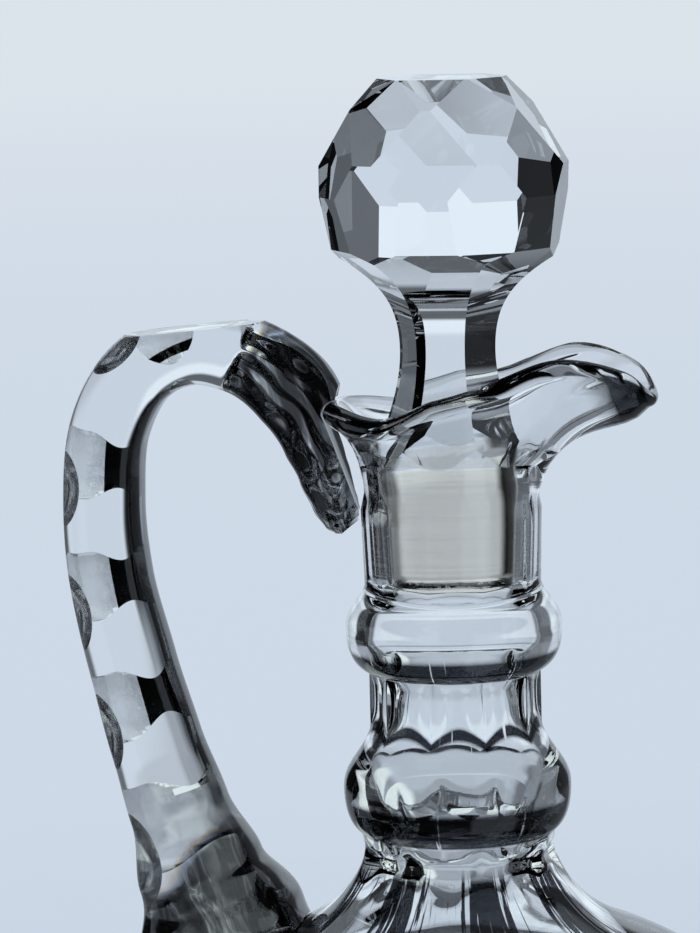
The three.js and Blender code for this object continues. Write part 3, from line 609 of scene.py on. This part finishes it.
def build_handle():
    """The sweep along HANDLE_PATH, less the vessel's room, the flat on top and the notches."""
    path = [np.array([-out * HANDLE_REACH, 0, WAIST + up * HANDLE_RISE]) for out, up, _ in HANDLE_PATH]
    points, places = centripetal(path, HANDLE_STEPS)
    widths = [w * HANDLE_WIDTH for _, _, w in HANDLE_PATH]
    rings, frames = [], []
    count = len(points)
    for i in range(count):
        along = points[min(count - 1, i + 1)] - points[max(0, i - 1)]
        along /= np.linalg.norm(along)
        outward = np.cross([0.0, 1.0, 0.0], along)
        k = min(int(places[i]), len(widths) - 2)
        width = mix(widths[k], widths[k + 1], smooth_step(places[i] - k, 0, 1))
        rings.append(handle_ring(points[i], along, outward, width, places[i]))
        frames.append((points[i], along, outward, width))
    obj = mesh_object("handle_cut_glass", *skin(rings))
    cut_by(obj, vessel_room(), "DIFFERENCE")
    over_flat = Vector((-TOP_FLAT_OUT * HANDLE_REACH, 0, WAIST + TOP_FLAT + HANDLE_DEPTH))
    place = Matrix.Translation(over_flat) @ Matrix.Rotation(math.radians(-TOP_FLAT_TILT), 4, "Y")
    flat = block("flat", (2 * HANDLE_REACH, 4 * HANDLE_DEPTH, 2 * HANDLE_DEPTH), place)
    cut_by(obj, flat, "DIFFERENCE")
    outer_run = frames[int(OUTER_RUN * count):]
    for k in range(NOTCHES):
        for hand, angle, depth, lift in NOTCH_SIDES:
            up = WAIST + NOTCH_FIRST + lift - k * NOTCH_PITCH
            at = min(outer_run, key=lambda f: abs(f[0][2] - up))
            cut_by(obj, notch_wheel(at, hand, angle, depth), "DIFFERENCE")
    obj.data.set_sharp_from_angle(angle=math.radians(HANDLE_SHARP))
    for polygon in obj.data.polygons:
        polygon.use_smooth = True
    return obj


# materials
class Nodes:
    def __init__(self, tree):
        self.tree = tree
        tree.nodes.clear()

    def add(self, kind, inputs=None, **settings):
        node = self.tree.nodes.new(kind)
        for key, value in settings.items():
            setattr(node, key, value)
        for key, value in (inputs or {}).items():
            if isinstance(value, bpy.types.NodeSocket):
                self.tree.links.new(value, node.inputs[key])
            else:
                node.inputs[key].default_value = value
        return node

    def math(self, operation, a, b=0.0, c=0.0):
        return self.add("ShaderNodeMath", {0: a, 1: b, 2: c}, operation=operation).outputs[0]

    def vector(self, operation, a, b=(0.0, 0.0, 0.0)):
        """A vector, or the number that it gives where it is a length, distance or dot product."""
        node = self.add("ShaderNodeVectorMath", {0: a, 1: b}, operation=operation)
        return node.outputs["Value" if operation in ("LENGTH", "DISTANCE", "DOT_PRODUCT") else "Vector"]

    def step(self, value, low, high, to=(0.0, 1.0), kind="SMOOTHSTEP"):
        """A step between two values, low one first or high one first."""
        return self.add("ShaderNodeMapRange", {0: value, 1: low, 2: high, 3: to[0], 4: to[1]},
                        interpolation_type=kind).outputs[0]

    def blend(self, share, a, b, **settings):
        """One colour to another."""
        return self.add("ShaderNodeMix", {0: share, 6: a, 7: b}, data_type="RGBA", **settings).outputs[2]

    def ramp(self, value, marks):
        """Colours at rising places from 0 to 1."""
        node = self.add("ShaderNodeValToRGB", {0: value})
        elements = node.color_ramp.elements
        for k, (at, colour) in enumerate(marks):
            mark = elements[k] if k < 2 else elements.new(at)
            mark.position, mark.color = at, colour
        return node.outputs[0]

    def outer_side(self):
        """1 where a surface is seen from outside the glass, 0 from inside it."""
        return self.math("SUBTRACT", 1.0, self.add("ShaderNodeNewGeometry").outputs["Backfacing"])


def srgb(r, g, b):
    def lin(v):
        v /= 255.0
        return v / 12.92 if v <= 0.04045 else ((v + 0.055) / 1.055) ** 2.4
    return (lin(r), lin(g), lin(b), 1.0)


def new_material(name):
    material = bpy.data.materials.new(name)
    material.use_nodes = True
    return material, Nodes(material.node_tree)


# The handle's ends with painted shade in streaks, in metres. Each lies beyond the line through start that is
# square to across, and within reach of middle. STREAKS holds the directions of the noise and how fine it is
# along each.
TAIL_PAINTED_STREAKS = dict(start=(-0.0273, 0.0, 0.1159), across=(0.797, 0.0, -0.605), middle=(-0.017, 0.0, 0.108),
                  reach=0.0165, soft=0.0008, bright=0.8)
FOOT_PAINTED_STREAKS = dict(start=(-0.0365, 0.0, 0.0545), across=(0.8, 0.0, -0.6), middle=(-0.026, 0.0, 0.049),
                  reach=0.022, soft=0.0015, bright=0.3)
REACH_FADE = 0.002
STREAKS = [((0.42, 0.0, -0.91), 70.0), ((0.91, 0.0, 0.42), 420.0), ((0.0, 1.0, 0.0), 160.0)]
INNER_FACE = (0.97, 0.0, -0.24)
SHADED = (0.035, 0.037, 0.042, 1)


def paint_streaked_end(n, place, clear, start, across, middle, reach, soft, bright):
    """Painted shade on the hot worked end of the handle: dark streaks along it, and a painted fringe of
    colour where they begin.
    """
    from_start = n.vector("SUBTRACT", place, start)
    wander = n.add("ShaderNodeTexNoise", {"Vector": place, "Scale": 260.0, "Detail": 2.0}).outputs[0]
    deep = n.vector("DOT_PRODUCT", from_start, across)
    deep = n.math("ADD", deep, n.math("MULTIPLY_ADD", wander, 2 * soft, -soft))
    inside = n.step(deep, 0.0, soft, kind="LINEAR")
    near = n.step(n.vector("DISTANCE", place, middle), reach, reach - REACH_FADE, kind="LINEAR")
    shade_mask = n.math("MULTIPLY", inside, near)
    drawn = [n.math("MULTIPLY", n.vector("DOT_PRODUCT", from_start, to), scale) for to, scale in STREAKS]
    flow = n.add("ShaderNodeCombineXYZ", dict(enumerate(drawn))).outputs[0]
    streaks = n.add("ShaderNodeTexNoise", {"Vector": flow, "Scale": 1.0, "Detail": 4.0, "Distortion": 0.9})
    half = 0.3 * bright
    # Painted shade in darker and lighter streaks
    levels = [(0.3, 0.03), (0.47, 0.06), (0.54, half), (0.58, bright), (0.62, half), (0.7, 0.05)]
    marks = [(at, (level, level * 1.02, level * 1.06, 1)) for at, level in levels]
    painted_streaks = n.ramp(streaks.outputs[0], marks)
    warm = (1.0, mix(1, 0.62, bright), mix(1, 0.2, bright), 1)
    cold = (mix(1, 0.2, bright), mix(1, 0.35, bright), mix(1, 0.7, bright), 1)
    # A painted fringe of colour where the painted shade begins
    painted_fringe = n.ramp(shade_mask, [(0.0, (1, 1, 1, 1)), (0.25, warm), (0.6, cold), (1.0, (1, 1, 1, 1))])
    return n.blend(1.0, n.blend(shade_mask, clear, painted_streaks), painted_fringe, blend_type="MULTIPLY")


# Painted shade on the outer side of the vessel: undersides of the upper ring and of the lower ring, lines on
# the shoulder, tip of the lip, and arches above the lower ring. Heights and distances are in millimetres.
# rise, tilt, off_panel: the height, the normal's upward part and the distance out from the flat of the neck
# panel at which the painted shade starts, is full, begins to fade and ends.
# out: the distance from the axis, plus slope times the height, at which it starts and is full.
# line: the level of the noise above which the painted shade lies.
PAINTED_CREASE_BANDS = [
    dict(rise=(81.9, 82.1, 84.5, 85.4), line=0.22, out=(9.6, 9.8)),
    dict(rise=(62.4, 62.7, 66.6, 67.7), line=0.22, out=(10.9, 11.1)),
    dict(rise=(36.0, 48.0, 58.5, 60.5), line=0.47, out=(60.6, 60.8), slope=0.85),
    dict(rise=(106.0, 107.0, 120.5, 121.5), line=0.22, out=(18.8, 21.3), tilt=(-2.0, -1.9, 0.1, 0.35)),
    dict(rise=(70.0, 71.0, 78.6, 79.2), line=0.22, out=(9.6, 9.7), off_panel=(0.06, 0.16, 0.42, 0.66)),
]
LINE_SOFT = 0.05
LINES_AROUND, LINES_UP, LINES_ON_EDGES = 26.0, 0.11, -0.13
# Colour of the painted shade
PAINTED_SHADE_COLOUR = (0.002, 0.0022, 0.003, 1)


def plateau(n, value, low, full_low, full_high, high):
    return n.math("MULTIPLY", n.step(value, low, full_low), n.step(value, full_high, high, to=(1.0, 0.0)))


def paint_crease_shade(n, place, clear, crease_bands):
    """Paints shade on the surfaces that the bands name, on their outer side only, as the far wall shows none
    of it.
    """
    xyz = n.add("ShaderNodeSeparateXYZ", {0: place})
    height = n.math("DIVIDE", xyz.outputs[2], MM)
    flat = n.add("ShaderNodeCombineXYZ", {0: xyz.outputs[0], 1: xyz.outputs[1]}).outputs[0]
    radius = n.math("DIVIDE", n.vector("LENGTH", flat), MM)
    azimuth = n.math("ARCTAN2", xyz.outputs[1], xyz.outputs[0])

    turned_by = n.vector("MULTIPLY", n.vector("NORMALIZE", flat), (LINES_AROUND, LINES_AROUND, 0.0))
    raised_by = n.add("ShaderNodeCombineXYZ", {2: n.math("MULTIPLY", height, LINES_UP)}).outputs[0]
    along = n.vector("ADD", turned_by, raised_by)
    noise = n.add("ShaderNodeTexNoise", {"Vector": along, "Scale": 1.0, "Detail": 3.0, "Distortion": 0.3})
    edge = n.math("COSINE", n.math("MULTIPLY", azimuth, float(SHOULDER_PANELS)))
    lines = n.math("MULTIPLY_ADD", edge, LINES_ON_EDGES, noise.outputs[0])

    normal = n.add("ShaderNodeNewGeometry").outputs["Normal"]
    tilt = n.add("ShaderNodeSeparateXYZ", {0: normal}).outputs[2]
    step = 2 * math.pi / PANELS
    from_corner = n.math("SUBTRACT", azimuth, math.radians(PANEL_CORNER_AT))
    from_corner = n.math("FLOORED_MODULO", from_corner, step)
    across = n.math("COSINE", n.math("SUBTRACT", from_corner, step / 2))
    off_panel = n.math("SUBTRACT", n.math("MULTIPLY", radius, across), MID_CORNER * math.cos(step / 2))

    shade_mask = None
    for crease_band in crease_bands:
        out_at = n.math("ADD", n.math("MULTIPLY", height, crease_band.get("slope", 0.0)), radius)
        out_there = n.step(out_at, *crease_band["out"], kind="LINEAR")
        band = n.math("MULTIPLY", plateau(n, height, *crease_band["rise"]), out_there)
        band = n.math("MULTIPLY", band, n.step(lines, crease_band["line"], crease_band["line"] + LINE_SOFT))
        if "off_panel" in crease_band:
            band = n.math("MULTIPLY", band, plateau(n, off_panel, *crease_band["off_panel"]))
        if "tilt" in crease_band:
            band = n.math("MULTIPLY", band, plateau(n, tilt, *crease_band["tilt"]))
        shade_mask = band if shade_mask is None else n.math("MAXIMUM", shade_mask, band)
    # Painted shade: the glass's colour goes dark within the bands, on the outer side only
    return n.blend(n.math("MULTIPLY", shade_mask, n.outer_side()), clear, PAINTED_SHADE_COLOUR)


def shaded_face(n, clear, to):
    """The face that looks to a direction, greyer on its outer side."""
    normal = n.add("ShaderNodeVectorTransform", {0: n.add("ShaderNodeNewGeometry").outputs["Normal"]},
                   vector_type="NORMAL", convert_from="WORLD", convert_to="OBJECT").outputs[0]
    share = n.step(n.vector("DOT_PRODUCT", normal, to), 0.5, 0.75)
    return n.blend(n.math("MULTIPLY", share, n.outer_side()), clear, SHADED)


GLASS_IOR = 1.54


def glass(name, tint, deep, wave, painted_ends=(), crease_bands=(), inner_face=None):
    """Polished glass with faint striae, hand-made waviness and fine surface marks."""
    material, n = new_material(name)
    place = n.add("ShaderNodeTexCoord").outputs["Object"]
    broad = n.add("ShaderNodeTexNoise", {"Vector": place, "Scale": 90.0, "Detail": 2.0, "Roughness": 0.4})
    stretch = n.add("ShaderNodeMapping", {"Vector": place, "Scale": (260.0, 260.0, 900.0)})
    fine = n.add("ShaderNodeTexNoise", {"Vector": stretch.outputs[0], "Scale": 1.0, "Detail": 3.0})
    roughness = n.step(fine.outputs[0], 0.45, 0.8, to=(0.0, 0.02), kind="LINEAR")
    bump = n.add("ShaderNodeBump", {"Strength": wave, "Distance": 0.00002, "Height": broad.outputs[0]})
    clear = n.blend(broad.outputs[0], tint, deep)
    # Painted shade in streaks on the handle's ends, with a painted fringe of colour
    for end in painted_ends:
        clear = paint_streaked_end(n, place, clear, **end)
    # Painted shade in bands on the vessel
    if crease_bands:
        clear = paint_crease_shade(n, place, clear, crease_bands)
    if inner_face:
        clear = shaded_face(n, clear, inner_face)
    bsdf = n.add("ShaderNodeBsdfPrincipled", {
        "Base Color": clear, "Roughness": roughness, "Normal": bump.outputs[0],
        "IOR": GLASS_IOR, "Transmission Weight": 1.0})
    n.add("ShaderNodeOutputMaterial", {"Surface": bsdf.outputs[0]})
    return material


def ground(name):
    """The finely ground seat: creamy, with turned grinding lines, pits and a few polished patches."""
    material, n = new_material(name)
    place = n.add("ShaderNodeTexCoord").outputs["Object"]
    lines = n.add("ShaderNodeMapping", {"Vector": place, "Scale": (30.0, 30.0, 2600.0)})
    turned_marks = n.add("ShaderNodeTexNoise", {"Vector": lines.outputs[0], "Scale": 1.0, "Detail": 4.0})
    grit = n.add("ShaderNodeTexNoise", {"Vector": place, "Scale": 2200.0, "Detail": 3.0})
    patch = n.add("ShaderNodeTexNoise", {"Vector": place, "Scale": 180.0, "Detail": 2.0})
    pits = n.add("ShaderNodeTexVoronoi", {"Vector": place, "Scale": 700.0})
    pit = n.step(pits.outputs["Distance"], 0.05, 0.16, kind="LINEAR")
    height = n.math("ADD", turned_marks.outputs[0], n.math("MULTIPLY", grit.outputs[0], 0.5))
    height = n.math("ADD", height, n.math("MULTIPLY", pit, 0.4))
    bump = n.add("ShaderNodeBump", {"Strength": 0.5, "Distance": 0.000014, "Height": height})
    colour = n.blend(turned_marks.outputs[0], srgb(254, 251, 246), srgb(240, 237, 231))
    roughness = n.step(patch.outputs[0], 0.3, 0.7, to=(0.01, 0.06), kind="LINEAR")
    bsdf = n.add("ShaderNodeBsdfPrincipled", {
        "Base Color": colour, "Roughness": roughness, "Normal": bump.outputs[0],
        "IOR": GLASS_IOR, "Transmission Weight": 1.0})
    n.add("ShaderNodeOutputMaterial", {"Surface": bsdf.outputs[0]})
    return material


PALE = srgb(219, 227, 235)

# The studio as the glass shows it: layers of pale cards and dark gaps. Each layer starts at an elevation and
# holds the azimuths, in degrees from the direction FRONT, at which a level of grey starts. A layer or card
# blends into the next over SOFT degrees to each side.
# ROOM_MIDDLE is the height in metres from which the floor shows the room.
FRONT, SOFT, ROOM_MIDDLE = 101.0, 2.5, 0.09
ROOM = [
    (-90, [(-180, 0.25), (-168, 0.75), (-118, 0.3), (-65, 0.5), (-20, 0.68), (14, 1.0), (72, 0.1),
           (130, 0.2)]),
    (-31, [(-180, 0.2), (-165, 0.78), (-122, 0.15), (-80, 0.5), (-28, 0.79), (20, 0.64), (52, 0.1),
           (130, 0.2)]),
    (-14, [(-180, 0.15), (-160, 0.8), (-126, 0.12), (-80, 0.4), (-30, 0.86), (25, 0.14), (72, 0.78),
           (104, 0.12)]),
    (2, [(-180, 0.15), (-160, 0.8), (-126, 0.12), (-80, 0.4), (-30, 0.96), (25, 0.14), (72, 0.78),
         (104, 0.12)]),
    (14, [(-180, 0.12), (-75, 0.4), (-28, 0.4), (22, 0.15)]),
    (30, [(-180, 0.12), (-60, 0.8), (28, 0.28), (60, 0.12)]),
    (60, [(-180, 0.5), (0, 0.5)]),
]


def grey(level):
    """Bluish grey, as the photograph's background is."""
    return srgb(242 * level, 255 * level, min(255, 270 * level))


def room_colour(n, direction):
    """Colour of the room in a direction, layer over layer."""
    turned_to = n.add("ShaderNodeVectorRotate", {"Vector": direction, "Angle": math.radians(-FRONT)},
                      rotation_type="Z_AXIS").outputs[0]
    xyz = n.add("ShaderNodeSeparateXYZ", {0: turned_to})
    azimuth = n.math("ARCTAN2", xyz.outputs[1], xyz.outputs[0])
    azimuth = n.math("MULTIPLY_ADD", azimuth, 0.5 / math.pi, 0.5)
    elevation = n.math("ARCSINE", xyz.outputs[2])
    colour = None
    for low, stops in ROOM:
        marks = [(0.0, grey(stops[0][1]))]
        for (_, before), (at, level) in zip(stops, stops[1:]):
            marks.append(((at - SOFT + 180) / 360, grey(before)))
            marks.append(((at + SOFT + 180) / 360, grey(level)))
        layer = n.ramp(azimuth, marks)
        if colour is None:
            colour = layer
        else:
            share = n.step(elevation, math.radians(low - SOFT), math.radians(low + SOFT))
            colour = n.blend(share, colour, layer)
    return colour


def seen_in_glass(n):
    path = n.add("ShaderNodeLightPath")
    return n.math("MAXIMUM", path.outputs["Is Glossy Ray"], path.outputs["Is Transmission Ray"])


# Distances in metres at which the floor turns from matt to plain, and its colour to PALE
MATT_TO_PLAIN, FLOOR_TO_PALE = (0.1, 0.34), (0.3, 3.5)


def floor_material():
    """Matt near the cruet, so that its shadow shows, and plain further out. Glass shows the room there."""
    material, n = new_material("pale_floor")
    place = n.add("ShaderNodeTexCoord").outputs["Object"]
    radius = n.vector("LENGTH", place)
    grain = n.add("ShaderNodeTexNoise", {"Vector": place, "Scale": 60.0, "Detail": 3.0})
    near = n.blend(grain.outputs[0], srgb(203, 211, 221), srgb(209, 217, 226))
    matt = n.add("ShaderNodeBsdfPrincipled", {"Base Color": near, "Roughness": 0.6})
    sweep = n.blend(n.step(radius, *FLOOR_TO_PALE), srgb(206, 217, 231), PALE)
    plain = n.add("ShaderNodeEmission", {"Color": sweep, "Strength": 1.0})
    both = n.add("ShaderNodeMixShader", {
        0: n.step(radius, *MATT_TO_PLAIN), 1: matt.outputs[0], 2: plain.outputs[0]})
    direction = n.vector("NORMALIZE", n.vector("ADD", place, (0.0, 0.0, -ROOM_MIDDLE)))
    room = n.add("ShaderNodeEmission", {"Color": room_colour(n, direction), "Strength": 1.0})
    shown = n.add("ShaderNodeMixShader", {0: seen_in_glass(n), 1: both.outputs[0], 2: room.outputs[0]})
    n.add("ShaderNodeOutputMaterial", {"Surface": shown.outputs[0]})
    return material


def build_world():
    """Plain pale light. The glass also shows the dark gaps between the pale cards of the room."""
    world = bpy.data.worlds.new("studio")
    bpy.context.scene.world = world
    world.use_nodes = True
    n = Nodes(world.node_tree)
    direction = n.add("ShaderNodeTexCoord").outputs["Generated"]
    colour = n.blend(seen_in_glass(n), PALE, room_colour(n, direction))
    back = n.add("ShaderNodeBackground", {"Color": colour, "Strength": 1.0})
    n.add("ShaderNodeOutputWorld", {"Surface": back.outputs[0]})


def area_light(name, place, target, size, power):
    """A rectangular lamp that the glass doesn't mirror."""
    lamp = bpy.data.lights.new(name, "AREA")
    lamp.shape = "RECTANGLE"
    lamp.size, lamp.size_y = size
    lamp.energy = power
    obj = bpy.data.objects.new(name, lamp)
    obj.location = place
    obj.rotation_euler = (Vector(target) - Vector(place)).to_track_quat("-Z", "Y").to_euler()
    obj.visible_glossy = obj.visible_transmission = False
    bpy.context.scene.collection.objects.link(obj)


# The camera as solved on the photograph: its place in metres, and its angles in degrees
FOCAL_PX, PHOTO_HEIGHT_PX, SENSOR_MM = 4400.0, 933.0, 36.0
CAMERA_PLACE = (0.0869, -0.5093, 0.1768)
CAMERA_TURN, CAMERA_DOWN, CAMERA_ROLL = 11.0, 7.732, -1.493


def build_camera():
    camera = bpy.data.cameras.new("camera")
    camera.sensor_width = SENSOR_MM
    camera.lens = FOCAL_PX / PHOTO_HEIGHT_PX * SENSOR_MM
    camera.clip_start, camera.clip_end = 0.01, 50.0
    obj = bpy.data.objects.new("camera", camera)
    az, el, roll = math.radians(CAMERA_TURN), math.radians(CAMERA_DOWN), math.radians(CAMERA_ROLL)
    forward = Vector((-math.sin(az) * math.cos(el), math.cos(az) * math.cos(el), -math.sin(el)))
    level = Vector((math.cos(az), math.sin(az), 0.0))
    upright = level.cross(forward)
    right = level * math.cos(roll) + upright * math.sin(roll)
    up = upright * math.cos(roll) - level * math.sin(roll)
    rotation = Matrix((right, up, -forward)).transposed().to_4x4()
    obj.matrix_world = Matrix.Translation(Vector(CAMERA_PLACE)) @ rotation
    bpy.context.scene.collection.objects.link(obj)
    bpy.context.scene.camera = obj


build_camera()
build_world()
bpy.context.scene.view_settings.view_transform = "Standard"

vessel = build_vessel()
vessel.data.materials.append(glass(
    "clear_vessel_glass", (0.985, 0.993, 1.0, 1), (0.965, 0.98, 0.992, 1), 0.25, crease_bands=PAINTED_CREASE_BANDS))
vessel.data.materials.append(ground("ground_socket"))
handle = build_handle()
handle.data.materials.append(glass(
    "clear_handle_glass", (0.985, 0.993, 1.0, 1), (0.96, 0.975, 0.985, 1), 0.5,
    painted_ends=[TAIL_PAINTED_STREAKS, FOOT_PAINTED_STREAKS], inner_face=INNER_FACE))
stopper = build_stopper()
stopper.data.materials.append(glass(
    "clear_stopper_glass", (0.985, 0.992, 1.0, 1), (0.965, 0.978, 0.99, 1), 0.0))
stopper.data.materials.append(ground("ground_plug"))

for piece, body, node, slot in ((vessel, "vessel_body", "vessel", "vessel_glass"),
                                (handle, "vessel_body", "handle", "handle_glass"),
                                (stopper, "stopper_body", "stopper", "stopper_glass")):
    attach(piece, body)
    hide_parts(node)

bpy.ops.mesh.primitive_circle_add(vertices=96, radius=6.0, fill_type="NGON", location=(0, 0, 0))
floor = bpy.context.object
floor.name = "pale_floor"
floor.data.materials.append(floor_material())

area_light("key", (-0.9, -0.8, 1.1), (0, 0, 0.08), (0.7, 0.7), 9.0)
area_light("fill", (1.0, -0.7, 0.7), (0, 0, 0.08), (0.6, 0.9), 4.0)
